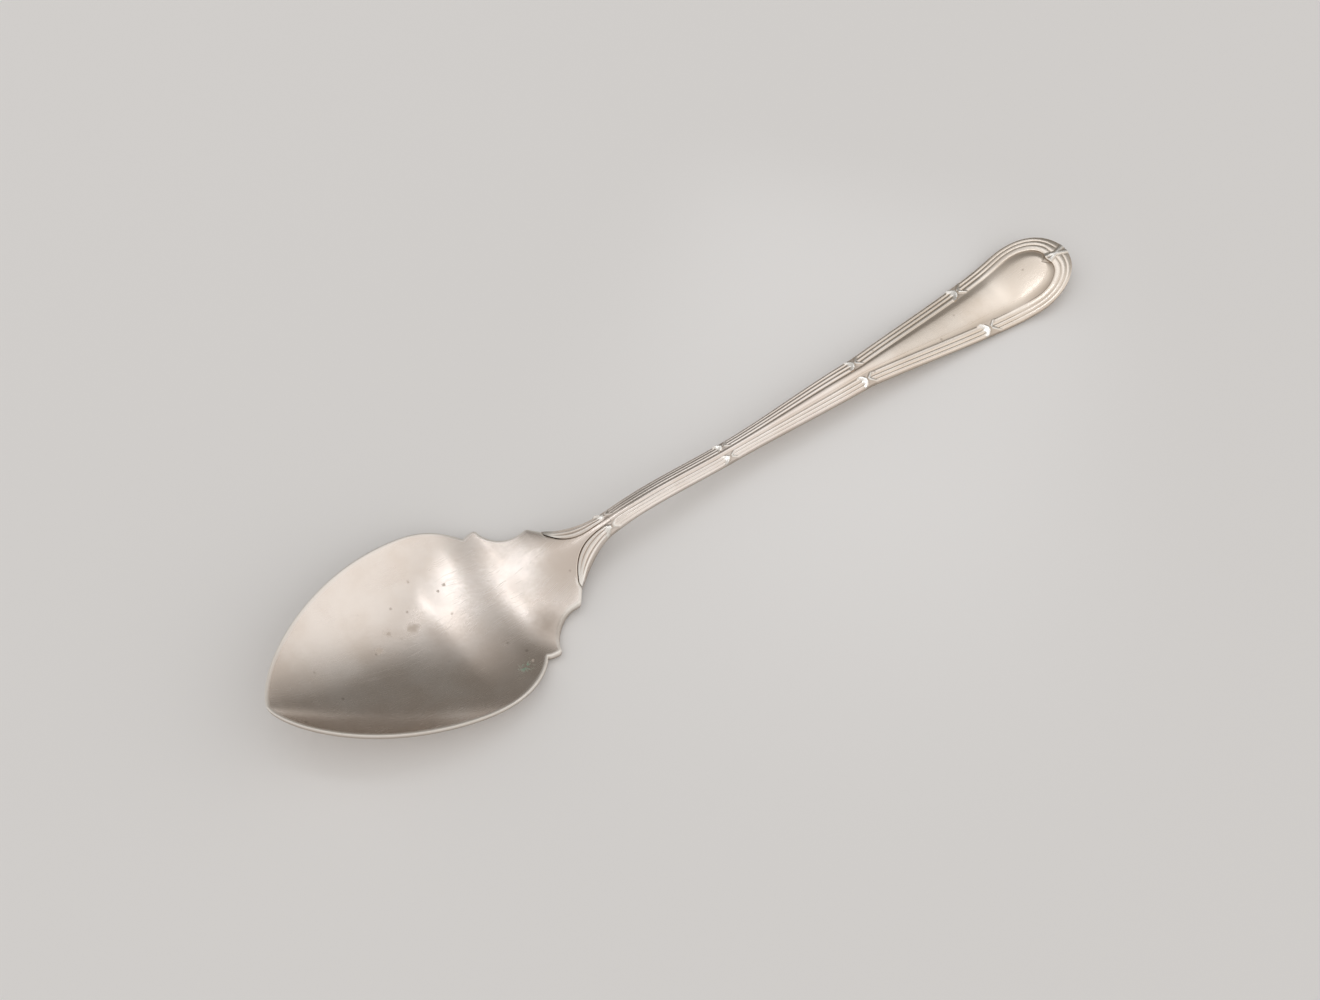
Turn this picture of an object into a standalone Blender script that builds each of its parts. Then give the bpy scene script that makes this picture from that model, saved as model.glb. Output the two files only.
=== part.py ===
"""Jam spoon of plated metal: a pointed, dished bowl let into the forked foot of a reeded handle.

X runs from the bowl's tip to the handle's end, Y across, Z up from the table that the spoon lies on.
"""

import math

import bmesh
import bpy
from mathutils import Vector

MM = 0.001

# Bowl in plan
TIP_TO_WIDEST = 27.0 * MM
WIDEST_TO_SHOULDER = 9.9 * MM
BOWL_WIDTH = 31.4 * MM
SHOULDER_INSET = 4.3 * MM  # from the widest outline in to the shoulder corner, each side
CUSP_RUN = 2.3 * MM  # shoulder corner to the shoulder cusp
CUSP_REACH = 0.4 * MM  # the cusp stands out past the corner
SCALLOP_RUN = 4.6 * MM  # shoulder cusp to the narrowest place
HEEL_RUN = 1.5 * MM  # narrowest place to the heel cusp
HEEL_WIDTH = 14.3 * MM
SCALLOP_DIP = 0.1 * MM  # the narrowest place lies inside the heel cusp by this
TIP_FULLNESS = 1.85  # exponents of the leaf curve from tip to widest
TIP_BLUNTNESS = 1.45
SWELL_FULLNESS = 2.3  # exponent of the curve from widest to shoulder

# Fork and tongue in plan
KINK_RUN = 1.4 * MM  # heel cusp to the points of the fork's arms
YOKE_WIDTH = 10.8 * MM  # across the points of the arms
YOKE_LENGTH = 8.6 * MM  # points of the arms to the neck
ARM_POINT = 0.6 * MM
ARM_SWEEP = 1.95  # exponent of the outer edge of an arm
TONGUE_SWEEP = 4.3  # exponent of the tongue's edge
TONGUE_END = 0.8 * MM  # width of the slot at the neck
JOINT_GAP = 0.25 * MM  # left for solder all round the tongue

# Handle in plan
NECK_WIDTH = 3.45 * MM
STEM_WIDTH = 3.3 * MM
FLARE_WIDTH = 5.4 * MM  # where the stem turns into the spatulate end
END_WIDTH = 12.55 * MM
STEM_LENGTH = 46.6 * MM  # neck to flare
BLADE_LENGTH = 41.0 * MM  # flare to the end
END_ROUND = 8.7 * MM  # length of the half ellipse that closes the end
NECK_TO_CREST = 4.7 * MM
NECK_TO_TIE = 21.0 * MM
TIE_TO_END = 18.5 * MM
REST_TO_END = 13.9 * MM  # where the back of the handle touches the table

# Heights of the upper surface above the table, on the centre line where not said otherwise
TIP_HEIGHT = 12.0 * MM
RIM_HEIGHT = 4.95 * MM  # of the rim at the bowl's widest place
TIP_TO_FLOOR = 26.8 * MM  # along the bowl, to its lowest point
TIP_SWEEP = 2.3  # exponent of the curve from the tip down to the floor
FLOOR_TO_LEDGE = 4.2 * MM  # the floor climbs a little to a nearly level ledge
LEDGE_HEIGHT = 1.1 * MM
SHOULDER_HEIGHT = 1.3 * MM
HEEL_HEIGHT = 3.25 * MM
FORK_HEIGHT = 3.72 * MM
NECK_HEIGHT = 6.05 * MM
CREST_HEIGHT = 6.45 * MM
TIE_HEIGHT = 4.9 * MM
FLARE_HEIGHT = 4.1 * MM
END_LIFT = 2.0 * MM  # of the back at the very end
END_LEVEL = 4.4 * MM  # length of the level stretch at the very end

# Rise of the edge over the centre line: a dish where positive, a crown where negative
SHOULDER_RISE = 1.0 * MM
CUSP_RISE = 0.2 * MM
HEEL_RISE = -0.55 * MM
FORK_RISE = -0.72 * MM
NECK_RISE = -0.45 * MM
FLARE_RISE = -0.3 * MM
END_RISE = -0.5 * MM

# Thicknesses
BOWL_THICK = 1.0 * MM
HEEL_THICK = 1.3 * MM
STEM_THICK = 2.3 * MM
END_THICK = 1.75 * MM
STEM_CROWN = 0.9 * MM  # the back of the stem rises to its edges by this
END_CROWN = 0.3 * MM
FLAT_DEPTH = 0.12 * MM  # worn off the belly, which leaves a flat to rest on

# Relief on the handle
REEDS = 3
REED_DEPTH = 0.2 * MM
NECK_BORDER = 1.3 * MM  # width of the reeded border
FLARE_BORDER = 1.95 * MM
END_BORDER = 2.25 * MM
TOP_BORDER = 3.5 * MM  # at the very end
PANEL_SWELL = 0.15 * MM  # the panel stands up in its middle by this
TIE_WIDTH = 1.7 * MM
TIE_RISE = 0.22 * MM

# Mesh steps
TIP_ROWS = 13
SWELL_ROWS = 5
CUSP_ROWS = 3
SCALLOP_ROWS = 7
TONGUE_ROWS = 11
BOWL_COLUMNS = 8
ARM_ROWS = 11
MOUTH_BIAS = 1.6  # exponent that draws the rows of the fork towards its mouth
ROW_STEP = 2.6 * MM
END_ROWS = 12
PANEL_COLUMNS = 3
TIE_ROWS = (-1.0, -0.5, -0.2, 0.2, 0.5, 1.0)  # in tie widths
SLOPE_STEP = 0.1 * MM  # over which a slope is measured
WELD = 0.001 * MM  # for the vertices that meet on the centre plane
SHARP_ANGLE = math.radians(35)

X_SHOULDER = TIP_TO_WIDEST + WIDEST_TO_SHOULDER
X_CUSP = X_SHOULDER + CUSP_RUN
X_NARROW = X_CUSP + SCALLOP_RUN
X_HEEL = X_NARROW + HEEL_RUN
X_FORK = X_HEEL + KINK_RUN
X_NECK = X_FORK + YOKE_LENGTH
X_FLARE = X_NECK + STEM_LENGTH
X_END = X_FLARE + BLADE_LENGTH
X_ROUND = X_END - END_ROUND
X_REST = X_END - REST_TO_END
TIES = (X_NECK, X_NECK + NECK_TO_TIE, X_FLARE, X_END - TIE_TO_END)

# Surface
SILVER = (0.72, 0.68, 0.61, 1.0)
BOWL_ROUGHNESS = 0.34
HANDLE_ROUGHNESS = 0.3


def through(points, x):
    """Smooth curve through (x, value) points, level at its ends and wherever it turns back."""
    points = sorted(points)
    if x <= points[0][0]:
        return points[0][1]
    if x >= points[-1][0]:
        return points[-1][1]
    rates = [(b[1] - a[1]) / (b[0] - a[0]) for a, b in zip(points, points[1:])]
    slopes = [0.0]
    for before, after in zip(rates, rates[1:]):
        slopes.append((before + after) / 2 if before * after > 0 else 0.0)
    slopes.append(0.0)
    i = max(k for k, point in enumerate(points[:-1]) if point[0] <= x)
    (x0, v0), (x1, v1) = points[i], points[i + 1]
    run = x1 - x0
    t = (x - x0) / run
    bend = t * t * (3 - 2 * t)
    leave = t * (1 - t) ** 2 * run * slopes[i]
    arrive = t * t * (t - 1) * run * slopes[i + 1]
    return v0 + (v1 - v0) * bend + leave + arrive


def steps(start, end, count):
    """Values from just after start up to end."""
    return [start + (end - start) * (k + 1) / count for k in range(count)]


# Outlines in plan, as half widths


def bowl_edge(x):
    """Leaf curve from the tip to the widest place, then a full curve to the shoulder."""
    widest = BOWL_WIDTH / 2
    if x <= TIP_TO_WIDEST:
        share = 1 - (1 - x / TIP_TO_WIDEST) ** TIP_FULLNESS
        return widest * share ** (1 / TIP_BLUNTNESS)
    corner = 1 - SHOULDER_INSET / widest
    reach = WIDEST_TO_SHOULDER / (1 - corner**SWELL_FULLNESS) ** (1 / SWELL_FULLNESS)
    share = 1 - ((x - TIP_TO_WIDEST) / reach) ** SWELL_FULLNESS
    return widest * share ** (1 / SWELL_FULLNESS)


def arm_edge(x):
    """Outer edge of the fork's arms, sweeping in to the neck."""
    left = max(0.0, 1 - (x - X_FORK) / YOKE_LENGTH)
    return NECK_WIDTH / 2 + (YOKE_WIDTH - NECK_WIDTH) / 2 * left**ARM_SWEEP


def slot_edge(x):
    """Inner edge of the fork's arms, which the tongue follows."""
    left = max(0.0, 1 - (x - X_FORK) / YOKE_LENGTH)
    mouth = YOKE_WIDTH / 2 - ARM_POINT
    return TONGUE_END / 2 + (mouth - TONGUE_END / 2) * left**TONGUE_SWEEP


def end_point(angle):
    """Point on the half ellipse that closes the handle, by its angle from the handle's end."""
    return X_ROUND + END_ROUND * math.cos(angle), END_WIDTH / 2 * math.sin(angle)


def touch_angle():
    """Angle at which the straight flank from the flare runs smoothly into the ellipse."""
    along = (X_FLARE - X_ROUND) / END_ROUND
    across = FLARE_WIDTH / END_WIDTH
    return math.atan2(across, along) - math.acos(1 / math.hypot(along, across))


def stem_edge(x):
    """Slender stem, then straight flanks that flare out to the end's ellipse."""
    crest = X_NECK + NECK_TO_CREST
    tie = X_NECK + NECK_TO_TIE
    if x <= X_FLARE:
        points = [(X_NECK, NECK_WIDTH / 2), (crest, STEM_WIDTH / 2), (tie, STEM_WIDTH / 2)]
        return through(points + [(X_FLARE, FLARE_WIDTH / 2)], x)
    touch_x, touch_y = end_point(touch_angle())
    return FLARE_WIDTH / 2 + (touch_y - FLARE_WIDTH / 2) * (x - X_FLARE) / (touch_x - X_FLARE)


def handle_edge(x):
    return arm_edge(x) if x <= X_NECK else stem_edge(x)


def border(x):
    """Width of the reeded border: the whole arm in the fork, a strip along the edge of the stem."""
    if x <= X_NECK:
        return arm_edge(x) - slot_edge(x)
    points = [(X_NECK, NECK_BORDER), (X_NECK + NECK_TO_TIE, NECK_BORDER), (X_FLARE, FLARE_BORDER)]
    return through(points + [(X_REST, END_BORDER), (X_ROUND, END_BORDER), (X_END, TOP_BORDER)], x)


# Surfaces


def centre_height(x):
    """Upper surface on the centre line, from the tip to the handle's end."""
    floor = BOWL_THICK - FLAT_DEPTH
    if x <= TIP_TO_FLOOR:
        return floor + (TIP_HEIGHT - floor) * (1 - x / TIP_TO_FLOOR) ** TIP_SWEEP
    points = [(TIP_TO_FLOOR, floor), (TIP_TO_FLOOR + FLOOR_TO_LEDGE, LEDGE_HEIGHT)]
    points += [(X_SHOULDER, SHOULDER_HEIGHT), (X_HEEL, HEEL_HEIGHT)]
    points += [(X_FORK, FORK_HEIGHT), (X_NECK, NECK_HEIGHT), (X_NECK + NECK_TO_CREST, CREST_HEIGHT)]
    points += [(X_NECK + NECK_TO_TIE, TIE_HEIGHT), (X_FLARE, FLARE_HEIGHT)]
    points += [(X_REST, END_THICK), (X_END - END_LEVEL, END_THICK + END_LIFT)]
    return through(points, x)


def edge_rise(x):
    """Rise of the edge over the centre line, which keeps the bowl's rim straight in side view."""
    if x <= TIP_TO_WIDEST:
        return TIP_HEIGHT + (RIM_HEIGHT - TIP_HEIGHT) * x / TIP_TO_WIDEST - centre_height(x)
    if x <= X_SHOULDER:
        end = SHOULDER_HEIGHT + SHOULDER_RISE
        share = (x - TIP_TO_WIDEST) / WIDEST_TO_SHOULDER
        return RIM_HEIGHT + (end - RIM_HEIGHT) * share - centre_height(x)
    points = [(X_SHOULDER, SHOULDER_RISE), (X_CUSP, CUSP_RISE), (X_HEEL, HEEL_RISE), (X_FORK, FORK_RISE)]
    points += [(X_NECK, NECK_RISE), (X_FLARE, FLARE_RISE), (X_REST, END_RISE)]
    return through(points, x)


def even_edge(x):
    """Half width that the rise is measured over, without the steps and scallops."""
    if x <= TIP_TO_WIDEST:
        return bowl_edge(x)
    if x > X_NECK:
        return stem_edge(x)
    points = [(TIP_TO_WIDEST, BOWL_WIDTH / 2), (X_CUSP, bowl_edge(X_SHOULDER) + CUSP_REACH)]
    return through(points + [(X_FORK, YOKE_WIDTH / 2), (X_NECK, NECK_WIDTH / 2)], x)


def upper(x, y):
    if x <= 0:
        return TIP_HEIGHT
    return centre_height(x) + edge_rise(x) * (y / even_edge(x)) ** 2


def plate_under(x, y):
    """Underside of the bowl, one plate thickness square to the upper surface."""
    thick = through([(TIP_TO_WIDEST, BOWL_THICK), (X_HEEL, HEEL_THICK)], x)
    along = (upper(x + SLOPE_STEP, y) - upper(x, y)) / SLOPE_STEP
    across = (upper(x, y + SLOPE_STEP) - upper(x, y)) / SLOPE_STEP
    return upper(x, y) - thick * math.sqrt(1 + along**2 + across**2)


def handle_back(x, share):
    """Underside of the handle: crowned, thinner towards the edge, where share is 1."""
    points = [(X_FORK, HEEL_THICK), (X_NECK + NECK_TO_CREST, STEM_THICK)]
    thick = through(points + [(X_FLARE, STEM_THICK), (X_REST, END_THICK)], x)
    points = [(X_FORK, END_CROWN), (X_NECK, STEM_CROWN)]
    crown = through(points + [(X_FLARE, STEM_CROWN), (X_REST, END_CROWN)], x)
    return centre_height(x) - thick + crown * share**2


# Meshes


def grid_faces(bm, rows):
    for near, far in zip(rows, rows[1:]):
        for a, b, c, d in zip(near, near[1:], far[1:], far):
            corners = list(dict.fromkeys((a, b, c, d)))
            bm.faces.new(corners)


def spoon_part(name, bm, roughness):
    """Object of half a piece, mirrored across the centre plane."""
    bmesh.ops.recalc_face_normals(bm, faces=bm.faces)
    mesh = bpy.data.meshes.new(name)
    bm.to_mesh(mesh)
    bm.free()
    mesh.shade_smooth()
    mesh.set_sharp_from_angle(angle=SHARP_ANGLE)
    part = bpy.data.objects.new(name, mesh)
    bpy.context.scene.collection.objects.link(part)
    mirror = part.modifiers.new("Mirror", "MIRROR")
    mirror.use_axis = (False, True, False)
    mirror.merge_threshold = WELD
    material = bpy.data.materials.new(name)
    material.use_nodes = True
    shader = material.node_tree.nodes["Principled BSDF"]
    shader.inputs["Base Color"].default_value = SILVER
    shader.inputs["Metallic"].default_value = 1.0
    shader.inputs["Roughness"].default_value = roughness
    mesh.materials.append(material)
    return part


# Bowl


def bowl_outline():
    """(x, half width) from the tip to the end of the tongue."""
    outline = [(0.0, 0.0)]
    for angle in steps(0, math.pi / 2, TIP_ROWS):
        x = TIP_TO_WIDEST * (1 - math.cos(angle))
        outline.append((x, bowl_edge(x)))
    for x in steps(TIP_TO_WIDEST, X_SHOULDER, SWELL_ROWS):
        outline.append((x, bowl_edge(x)))
    corner = bowl_edge(X_SHOULDER)
    cusp = corner + CUSP_REACH
    for x in steps(X_SHOULDER, X_CUSP, CUSP_ROWS):
        share = (x - X_SHOULDER) / CUSP_RUN
        outline.append((x, corner + CUSP_REACH * math.sqrt(share)))
    heel = HEEL_WIDTH / 2
    narrow = heel - SCALLOP_DIP
    for angle in steps(0, math.pi / 2, SCALLOP_ROWS):
        x = X_NARROW - SCALLOP_RUN * math.cos(angle)
        outline.append((x, cusp + (narrow - cusp) * math.sin(angle)))
    outline.append((X_HEEL, heel))
    step = X_FORK - JOINT_GAP
    share = (step - X_HEEL) / KINK_RUN
    outline.append((step, heel + (YOKE_WIDTH / 2 - heel) * share))
    start = step + JOINT_GAP / 4
    for k in range(TONGUE_ROWS + 1):
        x = start + (X_NECK - JOINT_GAP - start) * (k / TONGUE_ROWS) ** MOUTH_BIAS
        outline.append((x, slot_edge(x + JOINT_GAP) - JOINT_GAP))
    return outline


def build_bowl():
    bm = bmesh.new()
    top = []
    under = []
    for x, edge in bowl_outline():
        ys = [edge * k / BOWL_COLUMNS for k in range(BOWL_COLUMNS + 1)]
        if edge == 0:
            tip = bm.verts.new((x, 0, upper(x, 0)))
            point = bm.verts.new((x, 0, plate_under(x, 0)))
            top.append([tip] * len(ys))
            under.append([point] * len(ys))
            continue
        top.append([bm.verts.new((x, y, upper(x, y))) for y in ys])
        under.append([bm.verts.new((x, y, plate_under(x, y))) for y in ys])
    grid_faces(bm, top)
    grid_faces(bm, under)
    grid_faces(bm, list(zip([row[-1] for row in top], [row[-1] for row in under])))
    grid_faces(bm, [top[-1], under[-1]])
    return spoon_part("bowl", bm, BOWL_ROUGHNESS)


def rest_on_table(part):
    """Cuts the worn flat into the belly, at the table's height."""
    bpy.ops.mesh.primitive_cube_add(size=1, location=(X_SHOULDER / 2, 0, -TIP_HEIGHT / 2))
    table = bpy.context.object
    table.name = "table_cut"
    table.scale = (2 * X_SHOULDER, 2 * BOWL_WIDTH, TIP_HEIGHT)
    table.hide_render = True
    table.display_type = "WIRE"
    cut = part.modifiers.new("Worn flat", "BOOLEAN")
    cut.operation = "DIFFERENCE"
    cut.object = table
    return table


# Handle


def handle_stations():
    """X of the handle's rows up to the round end, closer together at the ties."""
    spans = steps(X_NECK, X_FLARE, round(STEM_LENGTH / ROW_STEP))
    touch = end_point(touch_angle())[0]
    spans += steps(X_FLARE, touch, round((touch - X_FLARE) / ROW_STEP))
    wanted = [X_NECK, X_REST]
    wanted += [tie + share * TIE_WIDTH for tie in TIES for share in TIE_ROWS]
    wanted = [x for x in wanted if X_NECK <= x < touch]
    for x in spans:
        if all(abs(x - other) > TIE_WIDTH / 3 for other in wanted):
            wanted.append(x)
    return sorted(wanted)


def tie_share(x, across):
    """How far a ribbon tie stands up here: 1 on a tie, 0 away from it."""
    nearest = min([abs(x - tie) for tie in TIES] + [math.hypot(X_END - x, across)])
    return max(0.0, 1 - (2 * nearest / TIE_WIDTH) ** 2)


def handle_rows():
    """One (edge point, axis point, border width) for each row, in plan."""
    rows = []
    for k in range(ARM_ROWS):
        x = X_FORK + YOKE_LENGTH * (k / ARM_ROWS) ** MOUTH_BIAS
        rows.append((Vector((x, arm_edge(x))), None, border(x)))
    for x in handle_stations():
        rows.append((Vector((x, handle_edge(x))), Vector((x, 0)), border(x)))
    for angle in steps(touch_angle(), 0, END_ROWS):
        edge = Vector(end_point(angle))
        foot = X_ROUND + (edge.x - X_ROUND) * (1 - (END_WIDTH / 2 / END_ROUND) ** 2)
        rows.append((edge, Vector((foot, 0)), border(edge.x)))
    return rows


def handle_points(edge, axis, width):
    """(x, y, upper z, back z) across half of the handle, from the edge to the inner side."""
    if axis is None:
        inward = Vector((0, -1))
        reach = width
    else:
        reach = (axis - edge).length
        inward = (axis - edge) / reach
    reed = width / REEDS
    depth = min(REED_DEPTH, reed / 2)
    tie = tie_share(edge.x, edge.y)
    across = []
    for k in range(2 * REEDS + 1):
        relief = -depth * (1 - tie) if k % 2 == 0 else TIE_RISE * tie
        across.append((width * k / (2 * REEDS), relief))
    if axis is not None:
        for share in steps(0, 1, PANEL_COLUMNS):
            swell = PANEL_SWELL * (1 - (1 - share) ** 2)
            across.append((width + (reach - width) * share, swell))
    points = []
    half = handle_edge(min(edge.x, end_point(touch_angle())[0]))
    for distance, relief in across:
        spot = edge + inward * distance
        share = min(1.0, abs(spot.y) / half)
        if edge.x > X_ROUND:
            share = 1 - distance / reach
        points.append((spot.x, spot.y, upper(spot.x, share * half) + relief, handle_back(spot.x, share)))
    return points


def build_handle():
    bm = bmesh.new()
    top = []
    back = []
    for row in handle_rows():
        points = handle_points(*row)
        top.append([bm.verts.new((x, y, z)) for x, y, z, _ in points])
        back.append([bm.verts.new((x, y, z)) for x, y, _, z in points])
    edge = 2 * REEDS + 1
    for side in (top, back):
        grid_faces(bm, [row[:edge] for row in side])
        grid_faces(bm, [row[edge - 1 :] for row in side[ARM_ROWS:]])
    grid_faces(bm, list(zip([row[0] for row in top], [row[0] for row in back])))
    slot = [[row[edge - 1] for row in side[: ARM_ROWS + 1]] for side in (top, back)]
    grid_faces(bm, list(zip(*slot)))
    grid_faces(bm, [top[0], back[0]])
    grid_faces(bm, [top[ARM_ROWS][edge - 1 :], back[ARM_ROWS][edge - 1 :]])
    return spoon_part("handle", bm, HANDLE_ROUGHNESS)


def build_spoon():
    for obj in list(bpy.data.objects):
        bpy.data.objects.remove(obj)
    spoon = bpy.data.objects.new("spoon", None)
    bpy.context.scene.collection.objects.link(spoon)
    spoon.location.x = -X_END / 2
    bowl = build_bowl()
    for part in (bowl, rest_on_table(bowl), build_handle()):
        part.parent = spoon


build_spoon()
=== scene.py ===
import math
import bpy
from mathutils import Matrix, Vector, kdtree


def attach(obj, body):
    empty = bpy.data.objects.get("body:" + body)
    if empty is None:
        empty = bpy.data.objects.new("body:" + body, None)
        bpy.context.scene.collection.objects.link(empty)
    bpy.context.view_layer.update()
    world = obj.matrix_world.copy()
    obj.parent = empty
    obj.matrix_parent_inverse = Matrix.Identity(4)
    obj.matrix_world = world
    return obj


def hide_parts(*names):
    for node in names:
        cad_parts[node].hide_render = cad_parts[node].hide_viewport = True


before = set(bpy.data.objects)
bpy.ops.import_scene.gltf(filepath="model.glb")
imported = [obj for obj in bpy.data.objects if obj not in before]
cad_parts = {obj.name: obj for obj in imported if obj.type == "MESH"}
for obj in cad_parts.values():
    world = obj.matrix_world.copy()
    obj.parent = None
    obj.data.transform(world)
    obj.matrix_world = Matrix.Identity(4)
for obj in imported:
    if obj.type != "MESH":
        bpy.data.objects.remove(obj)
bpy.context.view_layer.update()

mm = 0.001
print("frame loaded:", sorted(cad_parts))

spoonPlan = {  # mm from the bowl's tip
    "widest": 27.0, "shoulder": 36.9, "cusp": 39.2, "narrow": 43.8, "heel": 45.3,
    "fork": 46.7, "neck": 55.3, "crest": 60.0, "stemTie": 76.3, "flare": 101.9, "rest": 129.0,
    "round": 134.2, "end": 142.9,
}


def smoothThrough(points, x, start=0.0, end=0.0):  # smooth curve with its end slopes, level where it turns
    if x <= points[0][0]:
        return points[0][1]
    if x >= points[-1][0]:
        return points[-1][1]
    rates = [(b[1] - a[1]) / (b[0] - a[0]) for a, b in zip(points, points[1:])]
    slants = [(a + b) / 2 if a * b > 0 else 0.0 for a, b in zip(rates, rates[1:])]
    slants = [start] + slants + [end]
    i = max(k for k, point in enumerate(points[:-1]) if point[0] <= x)
    (x0, v0), (x1, v1) = points[i], points[i + 1]
    run = x1 - x0
    t = (x - x0) / run
    bend = v0 + (v1 - v0) * t * t * (3 - 2 * t)
    return bend + t * (1 - t) ** 2 * run * slants[i] + t * t * (t - 1) * run * slants[i + 1]


def ease(low, high, x):  # 0 at low, 1 at high
    t = min(1.0, max(0.0, (x - low) / (high - low)))
    return t * t * (3 - 2 * t)


def steps(start, end, count, bias=1.0):  # from just after start up to end
    return [start + (end - start) * ((k + 1) / count) ** bias for k in range(count)]


# Bowl and handle share one upper surface, so that the heel flows into the stem
bowlShape = {  # mm
    "width": 31.4, "shoulderInset": 4.3, "cuspReach": 0.4, "cuspRound": 0.7,
    "heelRound": 0.4, "heelWidth": 14.6, "scallopDip": 0.1, "scallopFullness": 1.4,
    "tipFullness": 1.85, "tipBluntness": 1.45, "swellFullness": 2.3,
    "tipHeight": 12.0, "floorHeight": 0.93, "tipSweep": 2.36,
    "heelSlopes": [(25.4, -0.06), (28.6, 0.075), (34.5, 0.005), (39.6, 0.22), (46.7, 0.34),
                   (51.0, 0.30), (55.3, 0.15), (60.0, 0.0)],  # along the centre line, to the crest
    "edges": [(0.0, 12.0), (20.0, 7.0), (27.0, 4.95), (33.0, 3.45), (39.2, 1.8), (46.7, 2.85),
              (55.3, 5.4)],
    "tipEdgeSlope": -0.25, "neckEdgeSlope": 0.12,
    "fullness": [(20.0, 0.0), (27.0, 0.65), (36.0, 0.45), (40.0, 0.45), (46.7, 0.0)],
    "thick": 1.0, "heelThick": 1.7,
    "rimRound": 0.3, "seamRounds": [(46.7, 0.26), (50.5, 0.12)], "seamGap": 0.05,
    # rimRubHighlight sets the rim's rubbed band, which is lightened as a painted highlight too
    "seamGrime": 1.2, "rimRubHighlight": (0.2, 0.55),
    "columns": 40, "rimColumns": (0.7, 0.45, 0.25, 0.1, 0.0), "rimShare": 0.03, "rimFollow": 4,
}
handleShape = {  # mm
    "yokeWidth": 10.8, "armPoint": 0.6, "armSweep": 1.95, "slotSweep": 4.3, "slotEnd": 0.8,
    "neckWidth": 3.45, "stemWidth": 3.45, "flareWidth": 5.4, "endWidth": 12.55, "endRound": 8.7,
    "heights": [(76.3, 4.9), (101.9, 4.1), (129.0, 1.75), (140.0, 3.7), (142.9, 3.8)],
    "rises": [(55.3, -0.7), (62.0, -0.5), (101.9, -0.3), (129.0, -0.5)],
    "thickness": [(46.7, 1.3), (60.0, 2.3), (101.9, 2.3), (129.0, 1.75)],
    "backCrown": [(46.7, 0.3), (55.3, 0.9), (101.9, 0.9), (129.0, 0.3)],
    "walls": [(46.7, 1.7), (60.0, 0.9)],
    "border": [(55.3, 1.3), (76.3, 1.3), (101.9, 1.95), (129.0, 2.25), (138.5, 2.3), (141.7, 3.05),
               (142.9, 3.9)],
    "stemReeds": (0.28, 0.36, 0.36), "bladeReeds": (0.29, 0.30, 0.41),  # shares of the border, from outside
    "reedDepth": 0.21, "deepest": 0.15, "leastDepth": 0.02, "valley": 0.94, "reedStart": (47.3, 49.5),
    "stemDepth": 0.8, "bladeGain": 0.2, "bladeStart": (80.0, 100.0), "levelSpan": (78.3, 99.9),
    "endLoss": 0.5, "endStart": (124.0, 133.0),
    "armDepth": 0.24, "armEnd": (53.0, 55.0), "armSwell": 0.3, "armSwellStart": (47.0, 49.5),
    "grooveWidth": 0.3, "grooveDepth": 0.6, "bladeGroove": 0.4,
    "endGroove": 1.5, "endGrooveDepth": 0.18, "roundStart": (130.0, 138.0),
    "panelSwell": 0.09, "swellLimit": 0.25, "bankLimit": 2.5, "backRound": 0.3,
    "ties": (54.9, 76.2, 101.7, 124.4), "tieReach": 1.2, "tieLeast": 1.9, "stemLevel": 0.8,
    "capBow": 0.45, "capLength": 0.62, "capTaper": 0.45, "capSlope": 0.27, "capFront": 0.25, "capBack": 0.6,
    "tieGap": 0.08, "veeReach": 0.6, "gapeSoft": 0.35, "gapeEnd": 0.55,
    "ribbonHalf": 0.28, "ribbonRise": 0.12, "notch": 0.09,
    "crossReach": 0.6, "crossHalf": 0.36, "crossRise": 0.08, "crossNotch": 0.03,
    "knotRound": 0.7, "knotRise": 0.2,
    "rowStep": 0.5, "tieStep": 0.13, "armRows": 44, "endRows": 64, "reedColumns": 8,
    "panelColumns": (0.02, 0.045, 0.075, 0.11, 0.16, 0.23, 0.33, 0.45, 0.6, 0.8, 1.0),
}
handleWearAndHighlights = {
    "cleanEdge": 0.1, "armDirt": 0.8, "tieDirt": 0.5, "crossDirt": 0.15,  # dirt in the valleys
    "grooveDirt": 0.4, "bladeDirt": 0.15, "endDirt": 0.25,
    # the tie and reed rubs and the shines lighten crests: partly rubbed wear, partly painted highlight
    "tieRubHighlight": (0.0, 0.1), "reedRubHighlight": (-0.03, 0.0), "stemShine": 0.35, "armShine": 0.65,
}
# the grime set here is painted shade on the side walls and underside near the outline
sideWalls = {"leanStart": (38.0, 41.0), "leanEnd": (50.0, 55.0), "grime": 0.9, "shadeReach": (0.2, 0.9)}
slopeStep = 0.1


def bowlHalf(x):  # leaf curve to the widest place, then a full curve to the shoulder
    widest = bowlShape["width"] / 2
    if x <= spoonPlan["widest"]:
        share = 1 - (1 - x / spoonPlan["widest"]) ** bowlShape["tipFullness"]
        return widest * share ** (1 / bowlShape["tipBluntness"])
    power = bowlShape["swellFullness"]
    corner = 1 - bowlShape["shoulderInset"] / widest
    reach = (spoonPlan["shoulder"] - spoonPlan["widest"]) / (1 - corner**power) ** (1 / power)
    return widest * (1 - ((x - spoonPlan["widest"]) / reach) ** power) ** (1 / power)


def armHalf(x):  # outer edge of the fork's arms
    left = max(0.0, (spoonPlan["neck"] - x) / (spoonPlan["neck"] - spoonPlan["fork"]))
    neck = handleShape["neckWidth"] / 2
    return neck + (handleShape["yokeWidth"] / 2 - neck) * left ** handleShape["armSweep"]


def slotHalf(x):  # inner edge of the fork's arms
    left = max(0.0, (spoonPlan["neck"] - x) / (spoonPlan["neck"] - spoonPlan["fork"]))
    mouth = handleShape["yokeWidth"] / 2 - handleShape["armPoint"]
    end = handleShape["slotEnd"] / 2
    return end + (mouth - end) * left ** handleShape["slotSweep"]


def endPoint(angle):  # on the half ellipse that closes the handle
    return Vector((spoonPlan["round"] + handleShape["endRound"] * math.cos(angle),
                   handleShape["endWidth"] / 2 * math.sin(angle)))


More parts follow.
